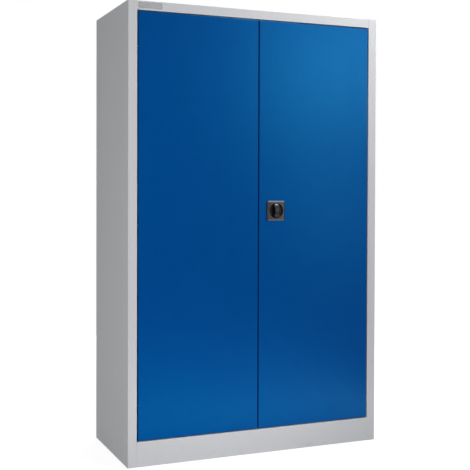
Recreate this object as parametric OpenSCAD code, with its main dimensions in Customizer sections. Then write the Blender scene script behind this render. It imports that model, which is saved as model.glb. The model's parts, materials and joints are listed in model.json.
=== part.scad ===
// Double-door tool cabinet of folded sheet steel, with a rotary handle and a three-point lock.
// Millimetres, +Z up, +X to the right of someone who faces the doors, front at -Y.
// Inside the modules y = 0 is the plane of the front frame; at_front() puts it in its place.

/* [Cabinet] */
// Overall width
cab_w = 1200; // [1000:10:1400]
// Depth of the carcass, without the handle
cab_d = 500; // [400:10:700]
// Overall height
cab_h = 1950; // [1700:10:2200]
// Thickness of the sheet steel
sheet = 1; // [0.8:0.1:1.4]
// Mid-line radius of every fold
fold_r = 1.5; // [1.2:0.1:2]

/* [Front frame] */
// Width of the two front posts
post_w = 40; // [34:1:60]
// Height of the rail above the doors
rail_h = 39; // [36:1:80]
// Height of the plinth under the doors
plinth_h = 106; // [80:1:160]
// Depth of the frame's returns behind its face
jamb_d = 40; // [38:1:46]
// Width of the lips that stiffen the returns
jamb_lip = 14; // [8:1:18]
// Width of the flanges at the rear edge and under the top
rear_flange = 20; // [12:1:30]

/* [Doors] */
// Depth of the folded door pans
door_t = 22; // [22:0.5:24]
// Gap between the hinge edge of a door and its post
side_gap = 5; // [5:0.1:7]
// Gap above and below the doors
end_gap = 4; // [3.5:0.1:6]
// Gap between the two doors
centre_gap = 5; // [4:0.1:8]
// Width of the lips along the doors' upright edges
door_lip = 15; // [13:0.5:18]
// Width of the hat-shaped stiffener's crown
stiffener_w = 60; // [40:1:100]
// Depth of the hat-shaped stiffener
stiffener_d = 17; // [12:0.5:19]

/* [Hinges] */
// Distance from the hinge edge of a door to its pivot
pivot_in = 12; // [12:0.5:14]
// Distance of the pivot behind the doors' face
pivot_back = 10; // [10:0.1:10.5]
// Diameter of the hinge pins
hinge_pin_d = 5; // [4:0.5:6]
// Thickness of the gooseneck arms
arm_t = 4; // [3:0.5:6]
// Width of the gooseneck's neck
neck_w = 7; // [6:0.5:7]
// Height of the arm's foot on the post
foot_h = 50; // [30:1:80]
// Distance of the outer hinges from the ends of a door
hinge_inset = 150; // [100:5:300]
// Height of the cut-out that a gooseneck passes through
cutout_h = 16; // [14:1:24]

/* [Handle and lock] */
// Distance of the handle's axis from the middle of the cabinet
lock_x = 82; // [76:1:100]
// Height of the handle's axis
lock_z = 1071; // [900:1:1200]
// Side of the square escutcheon
escutcheon_w = 88; // [84:1:110]
// How far the escutcheon stands proud of the door
escutcheon_t = 9; // [8:0.5:14]
// Width of the escutcheon's bevel
bevel_w = 6; // [3:0.5:8]
// Corner radius of the escutcheon
escutcheon_r = 12; // [6:1:20]
// Diameter of the turning knob
knob_d = 67; // [60:1:70]
// Width of the upright grip
grip_w = 23; // [22:1:28]
// How far the grip stands proud of the door
grip_reach = 22; // [18:1:30]
// Diameter of the lock barrel in the grip
barrel_d = 16; // [14:0.5:18]
// Diameter of the lock's turning core
plug_d = 11; // [9:0.5:12]
// Diameter of the spindle
spindle_d = 12; // [9:0.5:12]
// Radius on which the crank's pins stand
crank_r = 18; // [17:0.5:20]
// Diameter of the crank's pins
crank_pin_d = 6; // [5:0.5:7]
// Diameter of the lock rods
rod_d = 8; // [6:0.5:9]
// Thickness of the lock's steel plates
plate_t = 3; // [2:0.5:3]

/* [Shelves] */
// Height of a shelf's folded edge
shelf_h = 30; // [25:1:40]
// Pitch of the slots in the uprights
slot_pitch = 25; // [20:1:40]
// Height of a slot
slot_h = 12; // [10:0.5:14]
// Width of a slot
slot_w = 6; // [4:0.5:10]
// Width of a slotted upright
upright_w = 30; // [24:1:40]
// Distance of an upright's face from the side wall
upright_d = 15; // [12:1:20]

/* [Fits] */
// Radial clearance of a shaft that turns in a bore
running_fit = 0.05; // [0.02:0.01:0.1]
// Gap between parts that move past each other
slide_gap = 0.3; // [0.2:0.05:0.5]

/* [Hidden] */
$fn = 48;

grey_paint = [0.79, 0.80, 0.81];
blue_paint = [0.02, 0.34, 0.60];
zinc = [0.72, 0.74, 0.76];
dark_chrome = [0.34, 0.35, 0.37];
black_plastic = [0.06, 0.06, 0.07];
black_rubber = [0.11, 0.11, 0.11];

half_w = cab_w / 2;
half_sheet = sheet / 2;
fold_out = fold_r + half_sheet;
fold_in = fold_r - half_sheet;
jamb_x = half_w - post_w;
inner_x = half_w - sheet;
back_y = cab_d - 2 * sheet;
rail_z = cab_h - rail_h;
barrel_proud = 0.5;
handle_reach = grip_reach + barrel_proud;
front_y = (handle_reach - cab_d) / 2;
// How far a cutting tool runs past the face that it cuts.
beyond = 1;

// Doors, each in the right-hand half; the left one is the mirror image.
door_x0 = centre_gap / 2;
door_x1 = jamb_x - side_gap;
door_z0 = plinth_h + end_gap;
door_z1 = rail_z - end_gap;
door_mid_x = (door_x0 + door_x1) / 2;
stiffener_inset = 45;
stiffener_foot = 15;

// Hinges.
pivot_x = door_x1 - pivot_in;
pivot_y = pivot_back;
hinge_zs = [door_z0 + hinge_inset, (door_z0 + door_z1) / 2, door_z1 - hinge_inset];
eye_r = 6;
arm_y = door_t + pivot_back / 2;
foot_t = 2.5;
ear_t = 3;
ear_r = 7;
cutout_y = sheet + 0.5;
bracket_t = 2;
bracket_w = 30;
ear_side = 2;
bracket_h = 2 * ear_t + arm_t + 2 * slide_gap + 24;
pin_head_t = 2;
pin_head_d = hinge_pin_d + 4;
pin_tail = 1;

// Lock: the planes of its pieces behind the door's face.
face_y = sheet;
crank_y = 8;
crank_disc_r = crank_r + crank_pin_d / 2 + 3;
yoke_y = crank_y + plate_t + slide_gap;
crank_pin_end = yoke_y + plate_t + 1;
rod_y = yoke_y + plate_t / 2;
keeper_t = 2;
keeper_h = 60;
tongue_y = door_t + keeper_t + slide_gap;
tongue_reach = lock_x + door_x0 + door_lip - 4;
tongue_hub = 6;
tongue_w = 16;
nut_t = 6;
nut_d = spindle_d + 9;
spindle_tail = 1;
crank_swing = 45;
pin_rise = crank_r * sin(crank_swing);
pin_near = crank_r * cos(crank_swing);
rod_off = (pin_near + crank_r) / 2;
yoke_play = 0.7;
yoke_wall = 2;
yoke_slot_w = crank_r - pin_near + crank_pin_d + 2 * yoke_play;
yoke_slot_h = crank_pin_d + 2 * yoke_play;
rod_start = 34;
yoke_lap = 12;
rod_proud = 1;
rod_hole_d = rod_d + 3;
guide_gap = 0.1;
// Each rod has one guide near the handle and one near the door's end.
guide_near = 250;
guide_end = 136;
upper_guide_zs = [lock_z + guide_near, door_z1 - guide_end];
lower_guide_zs = [lock_z - guide_near, door_z0 + guide_end];

// Handle: depths counted from the door's face, outwards negative like y.
barrel_back = -7;
spindle_front = -5;
knob_gap = 0.4;
knob_rim = 2;
rim_slope = 3;
grip_edge_r = 3;
barrel_chamfer = 0.8;
dish_floor = 3.5;
dish_back = 1;
keyway_w = 2;
keyway_h = 8;
keyway_d = 8;
screw_d = 5;
screw_head_d = 9;
screw_head_t = 2;
screw_inset = 9;
screw_off = escutcheon_w / 2 - screw_inset;
screw_places = [for (x = [-1, 1], z = [-1, 1]) screw_off * [x, z]];
lock_plate_margin = 4;
spindle_hole_gap = 2;

// Rod guides: angles with a bore for the rod.
guide_w = 16;
guide_h = 24;
guide_t = 2;

// Door stops and their buffers.
stop_w = 60;
stop_t = 2;
stop_h = 16;
buffer_d = 10;
buffer_t = 2;
stop_y = door_t + slide_gap + buffer_t;

// Shelves, evenly spread between the floor and the rail, each on a whole slot pitch.
shelf_count = 4;
upright_z1 = cab_h - rear_flange - 5;
front_upright_y = jamb_d + 10;
rear_upright_y = cab_d - 60;
upright_x = inner_x - upright_d;
clip_t = 2;
clip_seat = 14;
clip_w = 20;
slot_gap = 0.5;
hook_t = 3;
hook_drop = 3;
shelf_x = upright_x - clip_t - slot_gap;
shelf_y0 = jamb_d + 6;
shelf_y1 = back_y - 6;
shelf_lip = 12;
slot_foot = 20;
slot_count = floor((upright_z1 - plinth_h - 2 * slot_foot) / slot_pitch);
shelf_step = slot_pitch * floor((rail_z - plinth_h) / (shelf_count + 1) / slot_pitch);
function slot_z(i) = plinth_h + slot_foot + i * slot_pitch;
// Height of shelf i's top: its clips hang in a slot, and its folded edge rests on them.
function clip_slot_z(i) = slot_z(i * shelf_step / slot_pitch);
function shelf_z(i) = clip_slot_z(i) + shelf_h;

// ---- Helpers ----

// Moves what is drawn from the front plane to the part's own frame.
module at_front() {
    translate([0, front_y, 0]) children();
}

module mirrored() {
    mirror([1, 0, 0]) children();
}

// An outline in X and Y, extruded upwards.
module along_z(z0, z1) {
    translate([0, 0, z0]) linear_extrude(z1 - z0) children();
}

// An outline in Y and Z, extruded along X.
module along_x(x0, x1) {
    translate([x0, 0, 0]) rotate([90, 0, 90]) linear_extrude(x1 - x0) children();
}

// An outline in X and Z, extruded along Y.
module along_y(y0, y1) {
    translate([0, y1, 0]) rotate([90, 0, 0]) linear_extrude(y1 - y0) children();
}

module block(low, high) {
    translate(low) cube(high - low);
}

// One flat run of sheet between two points of the mid-line.
module run(a, b) {
    u = (b - a) / norm(b - a);
    low = [min(a.x, b.x), min(a.y, b.y)] - half_sheet * [abs(u.y), abs(u.x)];
    size = [abs(b.x - a.x), abs(b.y - a.y)] + sheet * [abs(u.y), abs(u.x)];
    translate(low) square(size);
}

// A quarter-round fold at p, where the mid-line turns from direction u to direction v.
module fold(p, u, v) {
    c = p + fold_r * (v - u);
    q = fold_out * (u - v);
    translate(c) intersection() {
        difference() {
            circle(fold_out);
            circle(fold_in);
        }
        translate([min(q.x, 0), min(q.y, 0)]) square(fold_out);
    }
}

// The outline of a folded sheet along its mid-line, whose runs are square to each other.
module folded(path) {
    last = len(path) - 1;
    function way(i) = (path[i + 1] - path[i]) / norm(path[i + 1] - path[i]);
    for (i = [0 : last - 1]) {
        from = i == 0 ? path[i] : path[i] + fold_r * way(i);
        to = i == last - 1 ? path[i + 1] : path[i + 1] - fold_r * way(i);
        run(from, to);
    }
    for (i = [1 : last - 1]) fold(path[i], way(i - 1), way(i));
}

// A rectangle with round corners.
module rounded(low, high, r) {
    translate(low + [r, 0]) square(high - low - [2 * r, 0]);
    translate(low + [0, r]) square(high - low - [0, 2 * r]);
    for (x = [low.x + r, high.x - r], y = [low.y + r, high.y - r]) translate([x, y]) circle(r);
}

// A hat-shaped stiffener's outline around x = 0, open towards y = y0.
module hat(y0, crown_w, depth, foot) {
    folded([
        [-crown_w / 2 - foot, y0 + half_sheet], [-crown_w / 2, y0 + half_sheet],
        [-crown_w / 2, y0 + depth - half_sheet], [crown_w / 2, y0 + depth - half_sheet],
        [crown_w / 2, y0 + half_sheet], [crown_w / 2 + foot, y0 + half_sheet]
    ]);
}

// A bore along Y at the handle's axis or at a place around it.
module lock_bore(d, y0, y1, at = [0, 0]) {
    translate([lock_x + at.x, y1, lock_z + at.y]) rotate([90, 0, 0]) cylinder(d = d, h = y1 - y0);
}

// ---- Carcass ----

// Side wall, front post, return and rear flange, folded from one sheet.
module side_panel() {
    difference() {
        along_z(0, cab_h) folded([
            [half_w - rear_flange, cab_d - half_sheet], [half_w - half_sheet, cab_d - half_sheet],
            [half_w - half_sheet, half_sheet], [jamb_x + half_sheet, half_sheet],
            [jamb_x + half_sheet, jamb_d - half_sheet], [jamb_x + jamb_lip, jamb_d - half_sheet]
        ]);
        // The top sheet laps over the return.
        block([jamb_x - beyond, fold_out, cab_h - sheet], [inner_x, jamb_d + beyond, cab_h + beyond]);
    }
}

module right_side_panel() {
    color(grey_paint) at_front() side_panel();
}

module left_side_panel() {
    color(grey_paint) at_front() mirrored() side_panel();
}

// Top sheet with the rail above the doors, the rail's return and the flanges that hold it.
module top_panel() {
    color(grey_paint) at_front() difference() {
        union() {
            along_x(-jamb_x, jamb_x) folded([
                [back_y - half_sheet, cab_h - rear_flange], [back_y - half_sheet, cab_h - half_sheet],
                [half_sheet, cab_h - half_sheet], [half_sheet, rail_z + half_sheet],
                [jamb_d - half_sheet, rail_z + half_sheet], [jamb_d - half_sheet, rail_z + jamb_lip]
            ]);
            for (side = [0, 1]) mirror([side, 0, 0])
                along_y(fold_out, back_y - fold_out) folded([
                    [jamb_x - fold_out, cab_h - half_sheet], [inner_x - half_sheet, cab_h - half_sheet],
                    [inner_x - half_sheet, cab_h - rear_flange]
                ]);
        }
        rod_hole(rod_off, rail_z, rod_hole_d);
    }
}

// A hole for a lock rod in a level sheet whose underside is at z.
module rod_hole(x, z, d) {
    translate([lock_x + x, rod_y, z - beyond]) cylinder(d = d, h = sheet + 2 * beyond);
}

// Front plinth with its return under the doors.
module plinth() {
    color(grey_paint) at_front() difference() {
        along_x(-jamb_x, jamb_x) folded([
            [rear_flange, half_sheet], [half_sheet, half_sheet],
            [half_sheet, plinth_h - half_sheet], [jamb_d - half_sheet, plinth_h - half_sheet],
            [jamb_d - half_sheet, plinth_h - jamb_lip]
        ]);
        rod_hole(-rod_off, plinth_h - sheet, rod_hole_d);
    }
}

// Floor of the cabinet: a pan with its edges folded down.
module floor_panel() {
    z = plinth_h - half_sheet;
    foot_z = plinth_h - rear_flange;
    color(grey_paint) at_front() {
        along_x(fold_out - inner_x, inner_x - fold_out) folded([
            [jamb_d + half_sheet, foot_z], [jamb_d + half_sheet, z],
            [back_y - half_sheet, z], [back_y - half_sheet, foot_z]
        ]);
        along_y(jamb_d + fold_out, back_y - fold_out) folded([
            [half_sheet - inner_x, foot_z], [half_sheet - inner_x, z],
            [inner_x - half_sheet, z], [inner_x - half_sheet, foot_z]
        ]);
    }
}

// Hat-shaped stiffener that runs under the floor from side to side.
module floor_stiffener() {
    y = (jamb_d + back_y) / 2;
    color(grey_paint) at_front() translate([0, y, plinth_h - sheet])
        along_x(-inner_x + rear_flange, inner_x - rear_flange) mirror([0, 1])
            hat(0, stiffener_w, stiffener_d, stiffener_foot);
}

module back_panel() {
    color(grey_paint) at_front()
        block([fold_out - half_w, back_y, 0], [half_w - fold_out, cab_d - sheet, cab_h - sheet]);
}

// ---- Slotted uprights, shelves and clips ----

// Channel with a row of slots, at the right-hand wall.
module upright(y0) {
    difference() {
        along_z(plinth_h, upright_z1) folded([
            [inner_x, y0 + half_sheet], [upright_x + half_sheet, y0 + half_sheet],
            [upright_x + half_sheet, y0 + upright_w - half_sheet], [inner_x, y0 + upright_w - half_sheet]
        ]);
        for (i = [0 : slot_count]) translate([upright_x - beyond, y0 + (upright_w - slot_w) / 2, slot_z(i)])
            cube([sheet + 2 * beyond, slot_w, slot_h]);
    }
}

module upright_front_right() {
    color(grey_paint) at_front() upright(front_upright_y);
}

module upright_front_left() {
    color(grey_paint) at_front() mirrored() upright(front_upright_y);
}

module upright_rear_right() {
    color(grey_paint) at_front() upright(rear_upright_y);
}

module upright_rear_left() {
    color(grey_paint) at_front() mirrored() upright(rear_upright_y);
}

// A shelf with all its edges folded down and in again.
module shelf(i) {
    top = shelf_z(i) - half_sheet;
    low = shelf_z(i) - shelf_h + half_sheet;
    color(grey_paint) at_front() {
        along_x(fold_out - shelf_x, shelf_x - fold_out) folded([
            [shelf_y0 + shelf_lip, low], [shelf_y0 + half_sheet, low], [shelf_y0 + half_sheet, top],
            [shelf_y1 - half_sheet, top], [shelf_y1 - half_sheet, low], [shelf_y1 - shelf_lip, low]
        ]);
        along_y(shelf_y0 + fold_out, shelf_y1 - fold_out) folded([
            [shelf_lip - shelf_x, low], [half_sheet - shelf_x, low], [half_sheet - shelf_x, top],
            [shelf_x - half_sheet, top], [shelf_x - half_sheet, low], [shelf_x - shelf_lip, low]
        ]);
    }
}

// Hat-shaped stiffener under each shelf.
module shelf_stiffeners() {
    color(grey_paint) at_front() for (i = [1 : shelf_count])
        translate([0, (shelf_y0 + shelf_y1) / 2, shelf_z(i) - sheet])
            along_x(2 * shelf_lip - shelf_x, shelf_x - 2 * shelf_lip) mirror([0, 1])
                hat(0, stiffener_w, stiffener_d, stiffener_foot);
}

// A clip hangs in a slot by its hook, and its seat carries the corner of a shelf.
module shelf_clip() {
    hook = upright_x + sheet + slot_gap;
    along_y(-clip_w / 2, clip_w / 2) {
        translate([upright_x - clip_seat, -clip_t]) square([clip_seat, clip_t]);
        translate([upright_x - clip_t, -clip_t]) square([clip_t, slot_h]);
    }
    tongue_half = slot_w / 2 - slot_gap;
    high = slot_h - clip_t;
    along_y(-tongue_half, tongue_half) polygon([
        [upright_x - clip_t, high - hook_t], [upright_x - clip_t, high], [hook + clip_t, high],
        [hook + clip_t, -hook_drop], [hook, -hook_drop], [hook, high - hook_t]
    ]);
}

module shelf_clips() {
    ys = [front_upright_y + upright_w / 2, rear_upright_y + upright_w / 2];
    color(zinc) at_front() for (i = [1 : shelf_count], y = ys, side = [0, 1])
        mirror([side, 0, 0]) translate([0, y, clip_slot_z(i)]) shelf_clip();
}

// ---- Door stops ----

// An angle on the upper return, and one on the lower, that the doors close against.
module door_stops() {
    color(grey_paint) at_front() {
        block([-stop_w / 2, stop_y, rail_z - stop_t], [stop_w / 2, jamb_d - stop_t, rail_z]);
        block([-stop_w / 2, stop_y, rail_z - stop_h], [stop_w / 2, stop_y + stop_t, rail_z]);
        block([-stop_w / 2, stop_y, plinth_h], [stop_w / 2, jamb_d - stop_t, plinth_h + stop_t]);
        block([-stop_w / 2, stop_y, plinth_h], [stop_w / 2, stop_y + stop_t, plinth_h + stop_h]);
    }
}

// Rubber buffers on the stops, one behind each door's lip.
module stop_buffers() {
    x = door_x0 + door_lip / 2;
    zs = [rail_z - stop_h + buffer_d / 2, plinth_h + stop_h - buffer_d / 2];
    color(black_rubber) at_front() for (x = [-x, x], z = zs) translate([x, stop_y, z])
        rotate([90, 0, 0]) cylinder(d = buffer_d, h = stop_y - door_t - slide_gap);
}

// ---- Hinges ----

// Gooseneck: a foot on the post, and an arm that reaches round the door's edge to the pivot.
module hinge_arm(z) {
    neck_half = neck_w / 2;
    translate([0, 0, z]) difference() {
        union() {
            block([jamb_x - foot_t, arm_y, -foot_h / 2], [jamb_x, jamb_d - sheet, foot_h / 2]);
            along_z(-arm_t / 2, arm_t / 2) {
                translate([pivot_x, pivot_y]) circle(eye_r);
                translate([pivot_x - neck_half, pivot_y]) square([neck_w, arm_y - pivot_y + neck_w]);
                translate([pivot_x - neck_half, arm_y]) square([jamb_x - pivot_x + neck_half, neck_w]);
            }
        }
        translate([pivot_x, pivot_y, -arm_t]) cylinder(d = hinge_pin_d + 2 * running_fit, h = 2 * arm_t);
    }
}

module right_hinge_arms() {
    color(zinc) at_front() for (z = hinge_zs) hinge_arm(z);
}

module left_hinge_arms() {
    color(zinc) at_front() mirrored() for (z = hinge_zs) hinge_arm(z);
}

// Bracket on the inside of the door, with an ear above and an ear below the arm.
module hinge_bracket(z) {
    ear_z = arm_t / 2 + slide_gap;
    translate([0, 0, z]) difference() {
        union() {
            block(
                [pivot_x - bracket_w, face_y, -bracket_h / 2],
                [pivot_x + ear_side, face_y + bracket_t, bracket_h / 2]
            );
            for (low = [ear_z, -ear_z - ear_t]) along_z(low, low + ear_t) {
                translate([pivot_x, pivot_y]) circle(ear_r);
                translate([pivot_x - ear_r, face_y]) square([ear_r + ear_side, pivot_y - face_y]);
            }
        }
        translate([pivot_x, pivot_y, -bracket_h / 2]) cylinder(d = hinge_pin_d, h = bracket_h);
    }
}

module right_hinge_brackets() {
    color(zinc) at_front() for (z = hinge_zs) hinge_bracket(z);
}

module left_hinge_brackets() {
    color(zinc) at_front() mirrored() for (z = hinge_zs) hinge_bracket(z);
}

// Headed pin through both ears and the arm.
module hinge_pin(z) {
    half = arm_t / 2 + slide_gap + ear_t;
    translate([pivot_x, pivot_y, z - half - pin_tail]) cylinder(d = hinge_pin_d, h = 2 * half + pin_tail);
    translate([pivot_x, pivot_y, z + half]) cylinder(d = pin_head_d, h = pin_head_t);
}

module right_hinge_pins() {
    color(zinc) at_front() for (z = hinge_zs) hinge_pin(z);
}

module left_hinge_pins() {
    color(zinc) at_front() mirrored() for (z = hinge_zs) hinge_pin(z);
}

// ---- Doors ----

// A door's outside, from its face to its rear edge, with every edge rounded by the fold.
module door_form(inset, depth, r) {
    low_x = door_x0 + inset;
    high_x = door_x1 - inset;
    intersection() {
        along_z(door_z0 + inset, door_z1 - inset) rounded([low_x, inset], [high_x, depth], r);
        along_x(low_x, high_x) rounded([inset, door_z0 + inset], [2 * depth, door_z1 - inset], r);
    }
}

// Folded door pan: face, four flanges, and lips along the upright edges.
module door_pan() {
    difference() {
        door_form(0, door_t, fold_out);
        door_form(sheet, door_t - sheet, fold_in);
        block(
            [door_x0 + door_lip, door_t - 2 * sheet, door_z0 + sheet],
            [door_x1 - door_lip, door_t + beyond, door_z1 - sheet]
        );
        for (z = hinge_zs) block(
            [pivot_x - ear_r, cutout_y, z - cutout_h / 2],
            [door_x1 + beyond, door_t + beyond, z + cutout_h / 2]
        );
    }
}

module left_door_panel() {
    color(blue_paint) at_front() mirrored() door_pan();
}

module right_door_panel() {
    color(blue_paint) at_front() difference() {
        door_pan();
        lock_bore(spindle_d + 2 * spindle_hole_gap, -beyond, face_y + beyond);
        for (at = screw_places) lock_bore(screw_d, -beyond, face_y + beyond, at);
        rod_hole(rod_off, door_z1 - sheet, rod_d + 2 * guide_gap);
        rod_hole(-rod_off, door_z0, rod_d + 2 * guide_gap);
    }
}

module door_stiffener() {
    along_z(door_z0 + stiffener_inset, door_z1 - stiffener_inset) translate([door_mid_x, 0])
        hat(face_y, stiffener_w, stiffener_d, stiffener_foot);
}

module right_door_stiffener() {
    color(blue_paint) at_front() door_stiffener();
}

module left_door_stiffener() {
    color(blue_paint) at_front() mirrored() door_stiffener();
}

// Wear plate on the left door's lip, which the latch tongue turns behind.
module latch_keeper() {
    color(zinc) at_front() mirrored()
        block(
            [door_x0 + fold_out, door_t, lock_z - keeper_h / 2],
            [door_x0 + door_lip, door_t + keeper_t, lock_z + keeper_h / 2]
        );
}

// ---- Handle and lock ----

// Bevelled square escutcheon with the round opening that the knob turns in.
module escutcheon() {
    half = escutcheon_w / 2;
    bevel = [
        [-half, 0], [half, 0], [half, -escutcheon_t / 2], [half - bevel_w, -escutcheon_t],
        [bevel_w - half, -escutcheon_t], [-half, -escutcheon_t / 2]
    ];
    color(dark_chrome) at_front() difference() {
        translate([lock_x, 0, lock_z]) intersection() {
            along_y(-escutcheon_t, 0) rounded([-half, -half], [half, half], escutcheon_r);
            along_z(-half, half) polygon(bevel);
            along_x(-half, half) polygon([for (p = bevel) [p.y, p.x]]);
        }
        lock_bore(knob_d + 2 * knob_gap, -escutcheon_t - beyond, -dish_back);
        lock_bore(spindle_d + 2 * spindle_hole_gap, -dish_back - beyond, beyond);
        for (at = screw_places) lock_bore(screw_d, -escutcheon_t / 2, beyond, at);
    }
}

// Steel plate behind the door's face, which the escutcheon is screwed to.
module lock_plate() {
    half = escutcheon_w / 2 + lock_plate_margin;
    color(zinc) at_front() difference() {
        translate([lock_x, 0, lock_z]) along_y(face_y, face_y + bracket_t)
            rounded([-half, -half], [half, half], escutcheon_r);
        lock_bore(spindle_d + 2 * running_fit, 0, face_y + bracket_t + beyond);
        for (at = screw_places) lock_bore(screw_d, 0, face_y + bracket_t + beyond, at);
    }
}

module lock_plate_screws() {
    color(zinc) at_front() for (at = screw_places) {
        lock_bore(screw_d, -escutcheon_t / 2, face_y + bracket_t, at);
        lock_bore(screw_head_d, face_y + bracket_t, face_y + bracket_t + screw_head_t, at);
    }
}

// Brackets on the door's face that guide the two rods.
module rod_guides() {
    reach = rod_y + rod_d / 2 + guide_t;
    half = guide_w / 2;
    color(zinc) at_front() for (side = [-1, 1]) for (z = side > 0 ? upper_guide_zs : lower_guide_zs)
        translate([lock_x + side * rod_off, 0, z]) difference() {
            union() {
                block([-half, face_y, 0], [half, face_y + guide_t, guide_h]);
                block([-half, face_y, 0], [half, reach, guide_t]);
            }
            translate([0, rod_y, -beyond]) cylinder(d = rod_d + 2 * guide_gap, h = guide_t + 2 * beyond);
        }
}

// Dished knob with a round rim and an upright grip, which is highest in the middle.
module knob() {
    r = knob_d / 2;
    rim_r = knob_rim / 2;
    rim_y = escutcheon_t - 1;
    grip_half = r - knob_rim - 1;
    grip_end = grip_half - grip_w / 2;
    crown = grip_reach - rim_y - 1;
    crown_r = (pow(grip_half, 2) + pow(crown, 2)) / (2 * crown);
    color(black_plastic) at_front() difference() {
        translate([lock_x, 0, lock_z]) {
            rotate([90, 0, 0]) rotate_extrude() {
                polygon([
                    [0, dish_back], [r, dish_back], [r, rim_y - rim_r], [r - knob_rim, rim_y - rim_r],
                    [r - knob_rim - rim_slope, dish_floor], [0, dish_floor]
                ]);
                translate([r - rim_r, rim_y - rim_r]) circle(rim_r);
            }
            intersection() {
                along_y(-grip_reach, -dish_floor + 1) {
                    translate([-grip_w / 2, -grip_end]) square([grip_w, 2 * grip_end]);
                    for (z = [-grip_end, grip_end]) translate([0, z]) circle(d = grip_w);
                }
                translate([0, crown_r - grip_reach, 0]) rotate([0, 90, 0]) grip_arch(crown_r);
            }
        }
        lock_bore(barrel_d, -handle_reach - beyond, barrel_back);
        lock_bore(spindle_d, spindle_front, beyond);
    }
}

// Disc with round edges whose rim is the grip's arched front.
module grip_arch(r) {
    flat = grip_w - 2 * grip_edge_r;
    edge = [r - grip_edge_r, flat / 2];
    rotate_extrude() {
        translate([0, -grip_w / 2]) square([edge.x, grip_w]);
        translate([0, -flat / 2]) square([r, flat]);
        for (z = [-edge.y, edge.y]) translate([edge.x, z]) circle(grip_edge_r);
    }
}

// Lock barrel with a chamfered front, set in the middle of the grip.
module lock_barrel() {
    shoulder_y = barrel_chamfer - handle_reach;
    color(dark_chrome) at_front() difference() {
        union() {
            lock_bore(barrel_d, shoulder_y, barrel_back);
            translate([lock_x, shoulder_y, lock_z]) rotate([90, 0, 0])
                cylinder(d1 = barrel_d, d2 = barrel_d - 2 * barrel_chamfer, h = barrel_chamfer);
        }
        lock_bore(plug_d + 2 * running_fit, -handle_reach - beyond, barrel_back - 2);
    }
}

// Turning core of the lock, with its keyway.
module lock_core() {
    color(zinc) at_front() difference() {
        lock_bore(plug_d, -handle_reach + slide_gap, barrel_back - 2);
        block(
            [lock_x - keyway_w / 2, -handle_reach - beyond, lock_z - keyway_h / 2],
            [lock_x + keyway_w / 2, -handle_reach + keyway_d, lock_z + keyway_h / 2]
        );
    }
}

// Spindle from the knob through the door to the latch tongue.
module spindle() {
    color(zinc) at_front() lock_bore(spindle_d, spindle_front, tongue_y + plate_t + nut_t + spindle_tail);
}

module crank_disc() {
    color(zinc) at_front() difference() {
        lock_bore(2 * crank_disc_r, crank_y, crank_y + plate_t);
        lock_bore(spindle_d, crank_y - beyond, crank_y + plate_t + beyond);
    }
}

// The crank's two pins; at rest the upper rod's is low and the lower rod's is high.
module crank_pins() {
    color(zinc) at_front() for (s = [1, -1])
        lock_bore(crank_pin_d, crank_y + plate_t, crank_pin_end, s * [pin_near, -pin_rise]);
}

// Tongue on the spindle: upright at rest, and behind the left door's lip when locked.
module latch_tongue() {
    color(zinc) at_front() translate([lock_x, 0, lock_z]) difference() {
        along_y(tongue_y, tongue_y + plate_t) {
            circle(r = spindle_d / 2 + tongue_hub);
            translate([-tongue_w / 2, 0]) square([tongue_w, tongue_reach - tongue_w / 2]);
            translate([0, tongue_reach - tongue_w / 2]) circle(d = tongue_w);
        }
        translate([0, tongue_y + plate_t + beyond, 0]) rotate([90, 0, 0])
            cylinder(d = spindle_d, h = plate_t + 2 * beyond);
    }
}

module spindle_nut() {
    y = tongue_y + plate_t;
    color(zinc) at_front() difference() {
        translate([lock_x, y + nut_t, lock_z]) rotate([90, 0, 0]) cylinder(d = nut_d, h = nut_t, $fn = 6);
        lock_bore(spindle_d, y - beyond, y + nut_t + beyond);
    }
}

// A rod with the yoke that the crank's pin drives, drawn for the upper rod around the handle's axis.
module lock_rod(length) {
    half = yoke_slot_w / 2 + yoke_wall;
    foot_z = -pin_rise - yoke_slot_h / 2 - yoke_wall;
    translate([rod_off, 0, 0]) difference() {
        union() {
            block([-half, yoke_y, foot_z], [half, yoke_y + plate_t, rod_start + yoke_lap]);
            translate([0, rod_y, rod_start]) cylinder(d = rod_d, h = length - rod_start);
        }
        block(
            [-yoke_slot_w / 2, yoke_y - beyond, -pin_rise - yoke_slot_h / 2],
            [yoke_slot_w / 2, yoke_y + plate_t + beyond, -pin_rise + yoke_slot_h / 2]
        );
    }
}

module upper_rod() {
    color(zinc) at_front() translate([lock_x, 0, lock_z]) lock_rod(door_z1 + rod_proud - lock_z);
}

module lower_rod() {
    color(zinc) at_front() translate([lock_x, 0, lock_z]) rotate([0, 180, 0])
        lock_rod(lock_z - door_z0 + rod_proud);
}

left_side_panel();
right_side_panel();
top_panel();
floor_panel();
back_panel();
plinth();
floor_stiffener();
upright_front_left();
upright_front_right();
upright_rear_left();
upright_rear_right();
shelf(1);  // shelf_1
shelf(2);  // shelf_2
shelf(3);  // shelf_3
shelf(4);  // shelf_4
shelf_stiffeners();
shelf_clips();
door_stops();
stop_buffers();
left_hinge_arms();
right_hinge_arms();
left_door_panel();
left_door_stiffener();
left_hinge_brackets();
left_hinge_pins();
latch_keeper();
right_door_panel();
right_door_stiffener();
right_hinge_brackets();
right_hinge_pins();
escutcheon();
lock_plate();
lock_plate_screws();
rod_guides();
knob();
lock_barrel();
spindle();
crank_disc();
crank_pins();
latch_tongue();
spindle_nut();
lock_core();
upper_rod();
lower_rod();
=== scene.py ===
# %% [markdown]
# # A steel tool cabinet with two doors
#
# The cabinet is folded from painted sheet steel. Its construction is already there: the packed
# model is loaded as a fixed frame, and every piece in it lies where it really is. This script
# gives those pieces their finish, adds the fine pieces that only the eye needs, and sets the
# camera and the light. All lengths are in metres.

# %% Load the fixed frame
import json
import math

import bmesh
import bpy
from mathutils import Matrix, Vector


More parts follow.
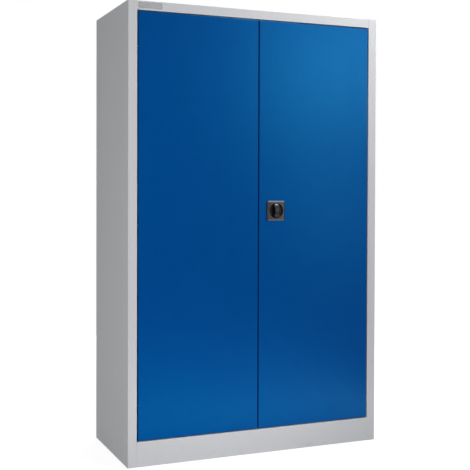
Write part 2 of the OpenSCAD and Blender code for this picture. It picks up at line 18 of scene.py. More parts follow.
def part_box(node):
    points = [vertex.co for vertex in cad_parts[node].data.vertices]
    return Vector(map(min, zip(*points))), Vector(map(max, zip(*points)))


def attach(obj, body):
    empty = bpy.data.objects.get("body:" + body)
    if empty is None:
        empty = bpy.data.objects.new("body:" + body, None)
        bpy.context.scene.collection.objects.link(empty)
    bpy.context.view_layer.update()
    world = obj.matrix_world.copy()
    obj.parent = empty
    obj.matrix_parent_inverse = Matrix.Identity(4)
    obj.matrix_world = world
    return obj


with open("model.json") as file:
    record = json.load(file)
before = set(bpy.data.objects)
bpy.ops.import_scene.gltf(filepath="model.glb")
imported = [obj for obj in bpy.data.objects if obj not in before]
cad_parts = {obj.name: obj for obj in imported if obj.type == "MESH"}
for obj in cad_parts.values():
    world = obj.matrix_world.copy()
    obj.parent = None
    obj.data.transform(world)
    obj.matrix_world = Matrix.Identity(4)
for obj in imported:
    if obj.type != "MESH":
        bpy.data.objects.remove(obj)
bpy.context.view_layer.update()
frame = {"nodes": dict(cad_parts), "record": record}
nodes = frame["nodes"]
MM = 0.001

# %% [markdown]
# ## The camera
#
# The photograph was taken from the front left, a little above the height of the handle. Upright
# edges stay almost upright in it, as with a view camera that stands level and whose picture is
# moved down and to the right by a lens shift. The camera could be placed by eye, but an error of
# a few pixels shows on a shape with so many straight edges. So the place, the turn, the lens and
# the shift were found by fitting the cabinet's corners at their real sizes to the same corners in
# the photograph. A little of the shift is taken up by tipping the camera down, so that views from
# other sides stay in the frame too.

# %% Camera
PICTURE = 470
SENSOR = 36.0
CAMERA_PLACE = Vector((-1.6869, -3.7464, 1.1662))
CAMERA_YAW = 0.37626
CAMERA_PITCH = -0.01474
CAMERA_ROLL = 0.00224
FOCAL_PIXELS = 882.62
PRINCIPAL_POINT = (195, 202)


def make_camera():
    data = bpy.data.cameras.new("camera")
    data.sensor_width = SENSOR
    data.lens = FOCAL_PIXELS / PICTURE * SENSOR
    data.shift_x = (PICTURE / 2 - PRINCIPAL_POINT[0]) / PICTURE
    data.shift_y = (PRINCIPAL_POINT[1] - PICTURE / 2) / PICTURE
    camera = bpy.data.objects.new("camera", data)
    level = Vector((math.cos(CAMERA_YAW), -math.sin(CAMERA_YAW), 0))
    ahead = Vector((math.sin(CAMERA_YAW), math.cos(CAMERA_YAW), 0)) * math.cos(CAMERA_PITCH)
    forward = ahead + Vector((0, 0, math.sin(CAMERA_PITCH)))
    upright = level.cross(forward)
    right = level * math.cos(CAMERA_ROLL) + upright * math.sin(CAMERA_ROLL)
    up = right.cross(forward)
    turn = Matrix((right, up, -forward)).transposed().to_4x4()
    camera.matrix_world = Matrix.Translation(CAMERA_PLACE) @ turn
    bpy.context.scene.collection.objects.link(camera)
    bpy.context.scene.camera = camera
    return camera


camera = make_camera()
print("camera: lens", round(camera.data.lens, 1), "mm")

# %% [markdown]
# ## Writing nodes as expressions
#
# Finishes, the surround and the rivets are all small networks of nodes. Written out link by link
# they would be long and hard to read. So one class wraps a socket, and plain arithmetic with it
# adds Math nodes. A second one wraps a tree and adds any other node through one method, with its
# settings first and its inputs after.

# %% A socket that can be calculated with
class Value:
    """A socket's value; arithmetic with it adds Math nodes to its tree."""

    def __init__(self, graph, socket):
        self.graph = graph
        self.socket = socket

    def math(self, operation, a, b):
        return self.graph.node("ShaderNodeMath", {"operation": operation}, {0: a, 1: b})

    def __add__(self, other):
        return self.math("ADD", self, other)

    def __mul__(self, other):
        return self.math("MULTIPLY", self, other)

    def __sub__(self, other):
        return self.math("SUBTRACT", self, other)

    def __rsub__(self, other):
        return self.math("SUBTRACT", other, self)

    def __truediv__(self, other):
        return self.math("DIVIDE", self, other)

    def __pow__(self, other):
        return self.math("POWER", self, other)

    __radd__ = __add__
    __rmul__ = __mul__


# %% A tree and the one way to add a node to it
class Graph:
    """A node tree; node() sets a new node's settings, feeds its inputs and gives back an output."""

    def __init__(self, tree):
        self.tree = tree

    def node(self, kind, settings=None, inputs=None, output=0):
        made = self.tree.nodes.new(kind)
        for name, value in (settings or {}).items():
            if name == "stops":
                self.set_stops(made.color_ramp, value)
            else:
                setattr(made, name, value)
        for socket, value in (inputs or {}).items():
            self.feed(made.inputs[socket], value)
        return Value(self, made.outputs[output])

    def set_stops(self, ramp, stops):
        while len(ramp.elements) < len(stops):
            ramp.elements.new(0.5)
        for element, (position, tone) in zip(ramp.elements, stops):
            element.position = position
            element.color = (tone, tone, tone, 1.0)

    def feed(self, socket, value):
        if isinstance(value, Value):
            self.tree.links.new(value.socket, socket)
        else:
            socket.default_value = value

    def spread(self, value, low, high, to_low=0.0, to_high=1.0):
        """Maps low..high to to_low..to_high, and holds the ends beyond."""
        limits = {"Value": value, "From Min": low, "From Max": high,
                  "To Min": to_low, "To Max": to_high}
        return self.node("ShaderNodeMapRange", {}, limits)

    def seen(self):
        """One for the camera, mirror images and glass, and nothing for light on matt things."""
        eye, mirror, glass = (self.node("ShaderNodeLightPath", output=f"Is {ray} Ray")
                              for ray in ("Camera", "Glossy", "Transmission"))
        return eye.math("MAXIMUM", eye, mirror.math("MAXIMUM", mirror, glass))


# %% A finish: one material and what it often needs
class Finish(Graph):
    """A material with its Principled shader; named constants go straight onto the shader."""

    def __init__(self, name, **constants):
        self.material = bpy.data.materials.new(name)
        self.material.use_nodes = True
        super().__init__(self.material.node_tree)
        self.shader = self.tree.nodes["Principled BSDF"]
        for socket, value in constants.items():
            self.shader.inputs[socket.replace("_", " ")].default_value = value
        self.place = self.node("ShaderNodeTexCoord", output="Object")

    def drive(self, **sockets):
        for name, value in sockets.items():
            self.feed(self.shader.inputs[name.replace("_", " ")], value)

    def noise(self, scale, detail=2.0, stretch=(1, 1, 1)):
        moved = self.node("ShaderNodeMapping", {}, {"Vector": self.place, "Scale": stretch})
        inputs = {"Vector": moved, "Scale": scale, "Detail": detail}
        return self.node("ShaderNodeTexNoise", {}, inputs)

    def patches(self, scale, low, high, stretch=(1, 1, 1)):
        """Scattered patches: nothing below low, full strength above high."""
        ramp = {"stops": [(low, 0.0), (high, 1.0)]}
        ragged = self.noise(scale, detail=6.0, stretch=stretch)
        return self.node("ShaderNodeValToRGB", ramp, {"Fac": ragged})

    def along(self, axis, output="Object"):
        """How far up, out or across a point lies, or how far its face turns that way."""
        vector = self.node("ShaderNodeTexCoord", output=output)
        return self.node("ShaderNodeSeparateXYZ", {}, {0: vector}, axis)

    def blend(self, factor, a, b):
        return self.node("ShaderNodeMix", {"data_type": "RGBA"}, {"Factor": factor, 6: a, 7: b}, 2)

    def bump(self, height, strength, distance, over=None):
        inputs = {"Height": height, "Strength": strength, "Distance": distance}
        if over:
            inputs["Normal"] = over
        normal = self.node("ShaderNodeBump", {}, inputs)
        self.drive(Normal=normal)
        return normal


def colour(red, green, blue):
    """A colour written as a screen shows it, from 0 to 255, as the linear one that light needs."""
    def linear(c):
        c = c / 255
        return c / 12.92 if c <= 0.04045 else ((c + 0.055) / 1.055) ** 2.4
    return (linear(red), linear(green), linear(blue), 1.0)


# %% [markdown]
# ## Powder coat
#
# The steel is powder coated. The powder melts into a satin skin with a fine orange peel, and the
# thin sheet under it is never quite flat. One flat colour would look like plastic, and a picture
# of paint would stretch round the folds, so the skin is made of noise in the cabinet's own space.
# Both colours share one recipe: a broad, faint drift of tone, the peel as a shallow bump over the
# sheet's slow waves, rub marks that change only the gloss, and near the floor a few dull scuffs
# from shoes and brooms. A new cabinet shows hardly any of it, so all of it is faint. Only a film
# of dust on what faces up takes much of the shine away.

# %% Powder coat in two colours
PEEL_SCALE = 520.0
PEEL_DEPTH = 0.06 * MM
PEEL_STRENGTH = 0.25
WAVE_SCALE = 1.6
WAVE_DEPTH = 2.5 * MM
WAVE_STRENGTH = 0.5
CLOUD_SCALE = 2.5
DRIFT_SCALE = 18.0
CLOUD_SHARE = 0.7
RUB_SCALE = 7.0
RUB_LIMITS = (0.58, 0.74)
UPRIGHT_STROKES = (1, 1, 0.35)
SCUFF_SCALE = 26.0
SCUFF_LIMITS = (0.60, 0.70)
LEVEL_STROKES = (0.5, 1, 1)
SCUFF_TOP = 0.30
SCUFF_SHOWS = 0.4
FACES_UP = (0.6, 1.0)
DUST_SHARE = 0.7
# what each adds to the roughness at its strongest, and what they add together at a usual spot
PEEL_DULLS, DRIFT_DULLS, RUB_DULLS, SCUFF_DULLS, DUST_DULLS = 0.10, 0.04, 0.03, 0.12, 0.35
USUAL_DULLS = 0.08


def powder_coat(name, light, dark, scuff, roughness, shine, shine_tint):
    """Painted sheet whose colour drifts between light and dark, with scuffs near the floor."""
    finish = Finish(name, Specular_IOR_Level=shine, Specular_Tint=shine_tint)
    cloud = finish.noise(CLOUD_SCALE, detail=3.0)
    drift = finish.noise(DRIFT_SCALE, detail=4.0)
    peel = finish.noise(PEEL_SCALE, detail=2.0)
    rubbed = finish.patches(RUB_SCALE, *RUB_LIMITS, UPRIGHT_STROKES)
    near_floor = finish.spread(finish.along("Z"), 0.0, SCUFF_TOP, 1.0, 0.0)
    scuffed = finish.patches(SCUFF_SCALE, *SCUFF_LIMITS, LEVEL_STROKES) * near_floor
    tone = finish.blend(cloud * CLOUD_SHARE + drift * (1 - CLOUD_SHARE), dark, light)
    finish.drive(Base_Color=finish.blend(scuffed * SCUFF_SHOWS, tone, scuff))
    settled = finish.spread(finish.along("Z", "Normal"), *FACES_UP)
    dust = settled * (drift * (1 - DUST_SHARE) + DUST_SHARE)
    marks = rubbed * RUB_DULLS + scuffed * SCUFF_DULLS + dust * DUST_DULLS
    skin = peel * PEEL_DULLS + drift * DRIFT_DULLS + (roughness - USUAL_DULLS)
    finish.drive(Roughness=skin + marks)
    swell = finish.noise(WAVE_SCALE, detail=1.0)
    waves = finish.bump(swell, WAVE_STRENGTH, WAVE_DEPTH)
    finish.bump(peel, PEEL_STRENGTH, PEEL_DEPTH, waves)
    return finish.material


WHITE = (1.0, 1.0, 1.0, 1.0)
BLUE_SHINE = (0.0, 0.6, 1.0, 1.0)
grey_coat = powder_coat("grey_powder_coat", colour(206, 207, 210), colour(200, 201, 205),
                        colour(188, 189, 192), roughness=0.40, shine=0.2, shine_tint=WHITE)
blue_coat = powder_coat("blue_powder_coat", colour(0, 61, 135), colour(0, 56, 130),
                        colour(0, 50, 116), roughness=0.30, shine=0.4, shine_tint=BLUE_SHINE)
print("powder coats:", grey_coat.name, blue_coat.name)

# %% [markdown]
# ## Bare metals, plastic and rubber
#
# Small steel parts are zinc plated: bright, with a cloudy bloom that drifts between blue and
# white. The hinge arms get a zinc whose colour is painted dark as shade, so that the gap beside
# the doors stays dark and nothing glints in it. The escutcheon and the lock are chrome with
# smudges and fine polishing lines. The escutcheon's dark colour is partly painted reflection, and
# the lock's darker one is painted reflection: both stand in for a dark studio mirrored in the
# chrome, so they show the white surround only dimly. A perfect mirror would look like glass, so
# all of them are one recipe of bloom, grain and finger marks, and only its colours, its gloss and
# its scale differ.

# %% Zinc plate, dark chrome and the nameplate's brushed sheet
UPRIGHT_GRAIN = (1, 1, 0.2)
LEVEL_GRAIN = (0.04, 1, 3)
GRAIN_FINENESS = 14
GRAIN_DEPTH = 0.04 * MM
GRAIN_STRENGTH = 0.12
BLOOM_SHARE = 0.7
SMUDGE_FINENESS = 1.7
SMUDGE_LIMITS = (0.52, 0.68)
SMUDGE_DULLS = 0.08


def metal(name, light, dark, roughness, variation, scale, grain=UPRIGHT_GRAIN):
    """A bare metal whose roughness varies with its bloom, its grain and finger marks."""
    finish = Finish(name, Metallic=1.0)
    bloom = finish.noise(scale, detail=4.0)
    fine = finish.noise(scale * GRAIN_FINENESS, detail=2.0, stretch=grain)
    smudge = finish.patches(scale * SMUDGE_FINENESS, *SMUDGE_LIMITS)
    tone = bloom * BLOOM_SHARE + fine * (1 - BLOOM_SHARE)
    finish.drive(Base_Color=finish.blend(tone, dark, light))
    varied = bloom * variation + fine * (variation / 2)
    middle = (variation + variation / 2) / 2
    finish.drive(Roughness=varied + smudge * SMUDGE_DULLS + (roughness - middle))
    finish.bump(fine, GRAIN_STRENGTH, GRAIN_DEPTH)
    return finish.material


zinc_plate = metal("zinc_plate", colour(214, 216, 214), colour(184, 189, 199),
                   roughness=0.34, variation=0.12, scale=60.0)
# painted shade: a zinc darkened so that the hinge arms in the door gaps stay as dark as shade
gap_shade_zinc = metal("zinc_painted_dark_as_gap_shade", colour(44, 45, 48), colour(30, 30, 34),
                  roughness=0.48, variation=0.10, scale=60.0)
# partly painted reflection: the escutcheon's dark colour stands in for a dark studio mirrored in
# its chrome
dark_chrome = metal("dark_chrome", colour(66, 66, 70), colour(52, 49, 47),
                    roughness=0.16, variation=0.05, scale=70.0)
# painted reflection: the lock's chrome is darkened to stand in for the dark studio it mirrors
lock_chrome = metal("lock_chrome", colour(64, 65, 69), colour(50, 51, 54),
                    roughness=0.14, variation=0.05, scale=120.0)
brushed_sheet = metal("brushed_sheet", colour(136, 137, 140), colour(123, 124, 127),
                      roughness=0.36, variation=0.08, scale=45.0, grain=LEVEL_GRAIN)
print("bare metals: zinc, dark zinc, dark chrome, lock chrome and brushed sheet")

# %% [markdown]
# The knob is glossy black plastic, polished by hands where it faces up, so a clear coat grows
# there with the turn of the face. Its mottle stays faint: black plastic shows mostly what it
# mirrors.

# %% Plastic and rubber
WEAR_SCALE = 30.0
WEAR_LIGHTENS = 1.6
WEAR_DULLS, MOULD_GRAIN_DULLS = 0.10, 0.06
MOULD_GRAIN_STRENGTH = 0.2


def moulded(name, tone, roughness, grain_scale, grain_depth, polish=None, **constants):
    """Plastic or rubber; its clear coat grows while a face's turn upwards goes through polish."""
    finish = Finish(name, **constants)
    grain = finish.noise(grain_scale, detail=3.0)
    worn = finish.noise(WEAR_SCALE, detail=3.0)
    worn_tone = tuple(WEAR_LIGHTENS * c for c in tone[:3]) + (1.0,)
    finish.drive(Base_Color=finish.blend(worn, tone, worn_tone))
    middle = (WEAR_DULLS + MOULD_GRAIN_DULLS) / 2
    finish.drive(Roughness=worn * WEAR_DULLS + grain * MOULD_GRAIN_DULLS + (roughness - middle))
    finish.bump(grain, MOULD_GRAIN_STRENGTH, grain_depth)
    if polish:
        finish.drive(Coat_Weight=finish.spread(finish.along("Z", "Normal"), *polish))
    return finish.material


KNOB_POLISH = (0.2, 0.45)
black_plastic = moulded("black_plastic", colour(12, 12, 13), roughness=0.20, grain_scale=900.0,
                        grain_depth=0.02 * MM, polish=KNOB_POLISH, Specular_IOR_Level=0.12,
                        Coat_Roughness=0.08)
black_rubber = moulded("black_rubber", colour(26, 26, 26), roughness=0.72, grain_scale=700.0,
                       grain_depth=0.05 * MM)
print("finishes:", len(bpy.data.materials))

# %% [markdown]
# ## Who wears what
#
# The record says for each piece of the frame which material it is made of. A list of all the
# pieces, written out by hand, would soon be wrong, so they get their finish from the record. The
# hinge arms are zinc plated too, but their zinc is painted dark as shade, to keep the door gaps
# dark.

# %% Give every piece of the frame its finish
FINISH_OF_SLOT = {
    "grey_paint": grey_coat,
    "blue_paint": blue_coat,
    "zinc": zinc_plate,
    "dark_chrome": dark_chrome,
    "chrome": lock_chrome,
    "black_plastic": black_plastic,
    "rubber": black_rubber,
}


def paint(piece, material):
    piece.data.materials.clear()
    piece.data.materials.append(material)


slot_of = {part["node"]: part["material_slot"] for part in frame["record"]["subparts"]}
for name, piece in nodes.items():
    paint(piece, FINISH_OF_SLOT[slot_of[name]])
# the hinge arms' zinc is painted dark as shade, so the gap beside the doors stays dark
for name in ("left_hinge_arms", "right_hinge_arms"):
    paint(nodes[name], gap_shade_zinc)
print("finished nodes:", len(nodes))

# %% [markdown]
# ## Nameplate
#
# A small plate of brushed sheet sits on the rail over the left door. It is left bare. A box would
# show no rim, and a bevel alone would give it the wrong edge. So it is a stack of rounded
# outlines, each a little smaller: an edge, a narrow raised rim, and a field a hair's breadth
# lower, so that the rim shows as a fine line.

# %% A bare plate on the rail
PLATE_LOW = (-0.5550, 1.9180)
PLATE_HIGH = (-0.4495, 1.9445)
PLATE_CORNER = 4.5 * MM
CORNER_STEPS = 8
RAIL_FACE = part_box("plinth")[0][1]
# how far in from the plate's edge and how far out from the rail each outline lies, in mm
PLATE_LAYERS = [(0, 0), (0, 0.6), (0.25, 0.8), (1.3, 0.8), (1.5, 0.55)]


def add_piece(name, shape, material, body):
    mesh = bpy.data.meshes.new(name)
    shape.to_mesh(mesh)
    shape.free()
    piece = bpy.data.objects.new(name, mesh)
    bpy.context.scene.collection.objects.link(piece)
    paint(piece, material)
    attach(piece, body)
    return piece


def rounded_outline(low, high, radius):
    """Points round a rectangle of the rail with rounded corners, from its upper right one."""
    points = []
    corners = [(high[0], high[1]), (low[0], high[1]), (low[0], low[1]), (high[0], low[1])]
    for turn, (x, z) in enumerate(corners):
        centre_x = x - math.copysign(radius, x - (low[0] + high[0]) / 2)
        centre_z = z - math.copysign(radius, z - (low[1] + high[1]) / 2)
        for step in range(CORNER_STEPS + 1):
            angle = (turn + step / CORNER_STEPS) * math.pi / 2
            out, up = radius * math.cos(angle), radius * math.sin(angle)
            points.append((centre_x + out, centre_z + up))
    return points


def make_plate():
    shape = bmesh.new()
    rings = []
    for inset, height in PLATE_LAYERS:
        low = [c + inset * MM for c in PLATE_LOW]
        high = [c - inset * MM for c in PLATE_HIGH]
        outline = rounded_outline(low, high, PLATE_CORNER - inset * MM)
        rings.append([shape.verts.new((x, RAIL_FACE - height * MM, z)) for x, z in outline])
    for inner, outer in zip(rings[1:], rings):
        for i in range(len(outer)):
            shape.faces.new((outer[i - 1], outer[i], inner[i], inner[i - 1]))
    shape.faces.new(rings[0])
    shape.faces.new(rings[-1])
    bmesh.ops.recalc_face_normals(shape, faces=shape.faces)
    return add_piece("nameplate", shape, brushed_sheet, "carcass")


plate = make_plate()
width, height = plate.dimensions.x / MM, plate.dimensions.z / MM
print("nameplate:", round(width, 1), "by", round(height, 1), "mm")

# %% [markdown]
# ## Rivets and weld marks
#
# The hinges are held by blind rivets, and sheets that lie on each other by spot welds. They could
# be modelled one by one, but there are nearly two hundred. Both are low round heads with a dimple,
# so one Geometry Nodes tree makes both. It takes points that know which way they face, and puts a
# head on each: a cone that is lifted into a dome, with its middle pressed in again. A seed varies
# the sizes a little, as a welder does.

# %% The tree that puts heads on points
HEAD_CORNERS = 18
HEAD_RINGS = 5
DOME_POWER = 2.5
DIMPLE_FROM = 0.7
HEAD_SIZES = (0.93, 1.05)
HEAD_SEED = 7


def make_head_tree():
    tree = bpy.data.node_groups.new("round_heads", "GeometryNodeTree")
    tree.interface.new_socket("Points", in_out="INPUT", socket_type="NodeSocketGeometry")
    for name in ("Head Diameter", "Head Height", "Dimple"):
        tree.interface.new_socket(name, in_out="INPUT", socket_type="NodeSocketFloat")
    tree.interface.new_socket("Seed", in_out="INPUT", socket_type="NodeSocketInt")
    tree.interface.new_socket("Finish", in_out="INPUT", socket_type="NodeSocketMaterial")
    tree.interface.new_socket("Heads", in_out="OUTPUT", socket_type="NodeSocketGeometry")
    graph = Graph(tree)
    given = tree.nodes.new("NodeGroupInput")
    inputs = [Value(graph, given.outputs[i]) for i in range(6)]
    points, diameter, height, dimple, seed, finish = inputs
    sizes = {"Vertices": HEAD_CORNERS, "Side Segments": HEAD_RINGS, "Depth": height,
             "Radius Top": 0.0, "Radius Bottom": diameter / 2}
    cone = graph.node("GeometryNodeMeshCone", {}, sizes)
    place = graph.node("GeometryNodeInputPosition")
    high = graph.node("ShaderNodeSeparateXYZ", {}, {0: place}, "Z") / height
    fall = (1.0 - high) ** DOME_POWER
    pressed = graph.node("FunctionNodeCompare", {"operation": "GREATER_THAN"},
                         {0: high, 1: DIMPLE_FROM})
    lifted = height * (1.0 - fall - high - pressed * dimple)
    shift = graph.node("ShaderNodeCombineXYZ", {}, {"Z": lifted})
    head = graph.node("GeometryNodeSetPosition", {}, {"Geometry": cone, "Offset": shift})
    facing = graph.node("GeometryNodeInputNamedAttribute", {"data_type": "FLOAT_VECTOR"},
                        {"Name": "facing"})
    turned = graph.node("FunctionNodeAlignRotationToVector", {"axis": "Z"}, {"Vector": facing})
    smallest, largest = HEAD_SIZES
    size = graph.node("FunctionNodeRandomValue", {}, {2: smallest, 3: largest, "Seed": seed}, 1)
    copies = {"Points": points, "Instance": head, "Rotation": turned, "Scale": size}
    placed = graph.node("GeometryNodeInstanceOnPoints", {}, copies)
    real = graph.node("GeometryNodeRealizeInstances", {}, {0: placed})
    done = graph.node("GeometryNodeSetMaterial", {}, {"Geometry": real, "Material": finish})
    tree.links.new(done.socket, tree.nodes.new("NodeGroupOutput").inputs[0])
    return tree


head_tree = make_head_tree()
print("tree:", head_tree.name, "with", len(head_tree.nodes), "nodes")

# %% [markdown]
# Each row of heads is written as a start, a step and a count, on the face that carries it. Places
# come from the boxes of the frame's own pieces where they can, so the heads sit on those pieces.
# The left door is the right one's mirror image, and so are its rows. The grown heads are turned
# into a plain mesh, one for each body that they ride on.

# %% Rows of points that know which way they face
LEFT, FRONT, BACK, UP = (-1, 0, 0), (0, -1, 0), (0, 1, 0), (0, 0, 1)


def row(start, step, count, facing):
    """Evenly spaced points, each with the direction in which its head stands out."""
    start, step = Vector(start), Vector(step)
    return [(start + step * i, facing) for i in range(count)]


def mirrored(points):
    """The same points on the other side of the cabinet."""
    return [(Vector((-p.x, p.y, p.z)), (-f[0], f[1], f[2])) for p, f in points]


def grow_heads(name, points, diameter, height, dimple, slot, body):
    mesh = bpy.data.meshes.new(name + "_points")
    mesh.from_pydata([p for p, f in points], [], [])
    facing = mesh.attributes.new("facing", "FLOAT_VECTOR", "POINT")
    for item, (p, f) in zip(facing.data, points):
        item.vector = f
    carrier = bpy.data.objects.new(name + "_points", mesh)
    bpy.context.scene.collection.objects.link(carrier)
    growth = carrier.modifiers.new("heads", "NODES")
    growth.node_group = head_tree
    sizes = {"Head Diameter": diameter, "Head Height": height, "Dimple": dimple,
             "Seed": HEAD_SEED, "Finish": FINISH_OF_SLOT[slot]}
    for item in head_tree.interface.items_tree:
        if item.name in sizes:
            growth[item.identifier] = sizes[item.name]
    evaluated = carrier.evaluated_get(bpy.context.evaluated_depsgraph_get())
    heads = bpy.data.meshes.new_from_object(evaluated)
    heads.name = name
    piece = bpy.data.objects.new(name, heads)
    bpy.context.scene.collection.objects.link(piece)
    bpy.data.objects.remove(carrier)
    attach(piece, body)
    print(name, "heads:", len(points), "faces:", len(heads.polygons))
    return piece


# %% Rivets at the hinges
HINGE_HEIGHTS = [0.260, 1.0085, 1.757]
FOOT_FACE = 0.5575
FOOT_MIDDLE = RAIL_FACE + 33 * MM
FOOT_RIVET_RISE = 17 * MM
BRACKET_FACE = RAIL_FACE + 3 * MM
BRACKET_RIVET_X = 0.519
BRACKET_RIVET_STEP = 11 * MM
BRACKET_RIVET_RISE = 12.5 * MM

foot_rivets = [spot for z in HINGE_HEIGHTS
               for spot in row((FOOT_FACE, FOOT_MIDDLE, z - FOOT_RIVET_RISE),
                               (0, 0, 2 * FOOT_RIVET_RISE), 2, LEFT)]
bracket_rivets = [spot for z in HINGE_HEIGHTS for rise in (-BRACKET_RIVET_RISE, BRACKET_RIVET_RISE)
                  for spot in row((BRACKET_RIVET_X, BRACKET_FACE, z + rise),
                                  (BRACKET_RIVET_STEP, 0, 0), 2, BACK)]
print("rivets:", 2 * len(foot_rivets), "on the posts and", 2 * len(bracket_rivets), "on the doors")

# %% Weld marks on the stiffeners, the back panel and the shelves
SHEET = 1 * MM
STIFFENER_EDGE = 6 * MM
SIDE_FLANGE_X = 0.586
FLOOR_FLANGE_Z = 96 * MM
TOP_FLANGE_DROP = 12 * MM
SHELF_FLANGES_Y = (-8.5 * MM, 68.5 * MM)
# where each row starts, how far its marks are apart and how many there are
STIFFENER_START, STIFFENER_STEP, STIFFENER_COUNT = 0.19, 0.18, 10
SIDE_START, SIDE_STEP, SIDE_COUNT = 0.125, 0.16, 12
END_START, END_STEP, END_COUNT = -0.50, 0.125, 9
SHELF_START, SHELF_STEP, SHELF_COUNT = -0.49, 0.14, 8

stiffener_low, stiffener_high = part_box("right_door_stiffener")
stiffener_welds = []
for x in (stiffener_low[0] + STIFFENER_EDGE, stiffener_high[0] - STIFFENER_EDGE):
    start = (x, stiffener_low[1] + SHEET, STIFFENER_START)
    stiffener_welds += row(start, (0, 0, STIFFENER_STEP), STIFFENER_COUNT, BACK)
back_low, back_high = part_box("back_panel")
carcass_welds = []
for x in (-SIDE_FLANGE_X, SIDE_FLANGE_X):
    carcass_welds += row((x, back_low[1], SIDE_START), (0, 0, SIDE_STEP), SIDE_COUNT, FRONT)
for z in (FLOOR_FLANGE_Z, back_high[2] - TOP_FLANGE_DROP):
    carcass_welds += row((END_START, back_high[1], z), (END_STEP, 0, 0), END_COUNT, BACK)
for shelf in ("floor_panel", "shelf_1", "shelf_2", "shelf_3", "shelf_4"):
    shelf_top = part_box(shelf)[1][2]
    for y in SHELF_FLANGES_Y:
        carcass_welds += row((SHELF_START, y, shelf_top), (SHELF_STEP, 0, 0), SHELF_COUNT, UP)
print("weld marks:", len(carcass_welds), "inside and", 2 * len(stiffener_welds), "on the doors")

# %% Grow the heads
# each kind's diameter and height, and how deep its dimple is as a share of the height
RIVET = (6 * MM, 1.3 * MM, 0.35)
SMALL_RIVET = (5 * MM, 1.1 * MM, 0.35)
WELD = (7 * MM, 0.5 * MM, 0.9)
grow_heads("carcass_rivets", foot_rivets + mirrored(foot_rivets), *RIVET, "zinc", "carcass")
grow_heads("carcass_weld_marks", carcass_welds, *WELD, "grey_paint", "carcass")
grow_heads("right_door_rivets", bracket_rivets, *SMALL_RIVET, "zinc", "right_door")
grow_heads("left_door_rivets", mirrored(bracket_rivets), *SMALL_RIVET, "zinc", "left_door")
grow_heads("right_door_weld_marks", stiffener_welds, *WELD, "blue_paint", "right_door")
grow_heads("left_door_weld_marks", mirrored(stiffener_welds), *WELD, "blue_paint", "left_door")

# %% [markdown]
# ## Studio
#
# The background of the photograph is plain white. Lamps bright enough to wash a floor out to
# white would spoil the paint, so the floor and the surround get their white from a glow of their
# own, which only the camera and mirror images see. The floor is darker paper than it looks, so
# that it throws little light back up. It still catches the cabinet's soft shadow, and its glow
# grows a little with distance, so that no horizon shows.

# %% Floor and surround
FLOOR_SIZE = 60.0
PAPER_DARK = colour(142, 142, 142)
PAPER_LIGHT = colour(146, 146, 146)
PAPER_MOTTLE_SCALE = 1.5
FLOOR_GLOW_NEAR = 0.88
FLOOR_GLOW_FAR = 0.95
GLOW_FROM = 1.0
GLOW_TO = 5.0
SURROUND_LIGHT = 0.2


def make_floor():
    half = FLOOR_SIZE / 2
    mesh = bpy.data.meshes.new("floor")
    corners = [(-half, -half, 0), (half, -half, 0), (half, half, 0), (-half, half, 0)]
    mesh.from_pydata(corners, [], [(0, 1, 2, 3)])
    floor = bpy.data.objects.new("floor", mesh)
    bpy.context.scene.collection.objects.link(floor)
    finish = Finish("floor_paper", Roughness=0.9, Specular_IOR_Level=0.0)
    mottle = finish.noise(PAPER_MOTTLE_SCALE)
    finish.drive(Base_Color=finish.blend(mottle, PAPER_DARK, PAPER_LIGHT))
    distance = finish.node("ShaderNodeVectorMath", {"operation": "LENGTH"}, {0: finish.place}, 1)
    brightness = finish.spread(distance, GLOW_FROM, GLOW_TO, FLOOR_GLOW_NEAR, FLOOR_GLOW_FAR)
    glow = finish.node("ShaderNodeEmission", {}, {"Strength": brightness * finish.seen()})
    paper = Value(finish, finish.shader.outputs[0])
    both = finish.node("ShaderNodeAddShader", {}, {0: paper, 1: glow})
    finish.feed(finish.tree.nodes["Material Output"].inputs["Surface"], both)
    paint(floor, finish.material)


def make_surround():
    world = bpy.data.worlds.new("surround")
    bpy.context.scene.world = world
    world.use_nodes = True
    graph = Graph(world.node_tree)
    background = world.node_tree.nodes["Background"]
    background.inputs["Color"].default_value = WHITE
    strength = graph.spread(graph.seen(), 0.0, 1.0, SURROUND_LIGHT, 1.0)
    graph.feed(background.inputs["Strength"], strength)


make_floor()
make_surround()
print("surround:", SURROUND_LIGHT, "of white as light, and white to the eye")

# %% [markdown]
# ## Lamps
#
# The paint in the photograph shows where its lamps stood. A large soft lamp at the front right is
# mirrored in the upper corner of the right door. A small strong one, the crown, hangs close over
# the doors, and so the right post grows dark towards the floor. A wide lamp behind the camera
# lights the front evenly, one at the left lights the side wall, and a small one near the floor
# lights the plinth. Two soft ones light the right side and the back, for views from there.
#
# Satin paint shows its lamps twice, as light and as a mirror image. One lamp can't give both as
# the photograph has them, so some lamps aren't mirrored, and the last five are only there to be
# mirrored: a dim one half way up the right door, the lit floor low down in both doors and
# brighter close by, a spark on the upper slope of the grip, and a cool strip overhead in the
# escutcheon's top bevel.

# %% Soft lamps
COOL = (0.72, 0.88, 1.0)


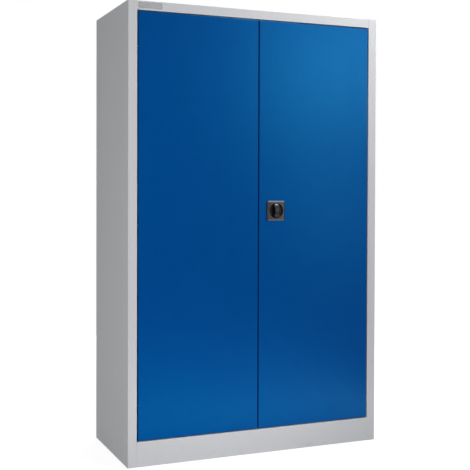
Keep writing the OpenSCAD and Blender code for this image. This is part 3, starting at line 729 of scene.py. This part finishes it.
def soft_lamp(name, place, aim, size, watts, lights=True, in_mirrors=True, tint=WHITE[:3]):
    """An area lamp, itself unseen, that lights matt surfaces, shows in glossy ones, or both."""
    data = bpy.data.lights.new(name, "AREA")
    data.shape = "RECTANGLE"
    data.size, data.size_y = size
    data.energy = watts
    data.color = tint
    lamp = bpy.data.objects.new(name, data)
    lamp.location = place
    towards = Vector(aim) - Vector(place)
    lamp.rotation_euler = towards.to_track_quat("-Z", "Y").to_euler()
    lamp.visible_diffuse = lights
    lamp.visible_glossy = in_mirrors
    lamp.visible_camera = False
    bpy.context.scene.collection.objects.link(lamp)


soft_lamp("key", (2.75, -4.2, 2.4), (0.4, -0.24, 1.75), (1.3, 1.1), 44)
soft_lamp("crown", (0.9, -1.1, 2.7), (0.3, -0.24, 1.4), (0.5, 0.4), 12, in_mirrors=False)
soft_lamp("front", (-0.8, -6.5, 1.6), (0, -0.24, 1.0), (3.0, 2.4), 59)
soft_lamp("side", (-2.2, -2.4, 0.8), (-0.6, 0, 0.8), (1.0, 1.0), 31, in_mirrors=False)
soft_lamp("kerb", (-0.12, -0.75, 0.07), (-0.12, -0.24, 0.05), (1.0, 0.1), 0.8, in_mirrors=False)
soft_lamp("right", (3.5, 0.6, 1.5), (0.6, 0.0, 1.0), (1.6, 1.6), 38, in_mirrors=False)
soft_lamp("back", (0.7, 3.0, 1.0), (0.0, 0.26, 1.0), (1.4, 1.4), 45, in_mirrors=False)
soft_lamp("middle", (2.4, -3.8, 1.15), (0.3, -0.24, 1.1), (0.55, 1.0), 7, lights=False)
soft_lamp("floor_glow", (0.15, -1.3, 0.03), (0.15, -1.25, 1.0), (1.9, 2.1), 23, lights=False)
soft_lamp("floor_near", (0.0, -0.75, 0.035), (0.0, -0.75, 1.0), (1.9, 0.8), 7, lights=False)
soft_lamp("spark", (0.55, -0.94, 3.11), (0.08, -0.26, 1.07), (0.24, 0.24), 36, lights=False)
soft_lamp("overhead_strip", (0.85, -0.3, 2.75), (0.1, -0.25, 1.08), (1.0, 0.6), 12, lights=False,
          tint=COOL)

# %% [markdown]
# ## Picture and finish
#
# The Standard view shows each colour as it is written.

# %% Picture settings
bpy.context.scene.view_settings.view_transform = "Standard"
print("view:", bpy.context.scene.view_settings.view_transform)
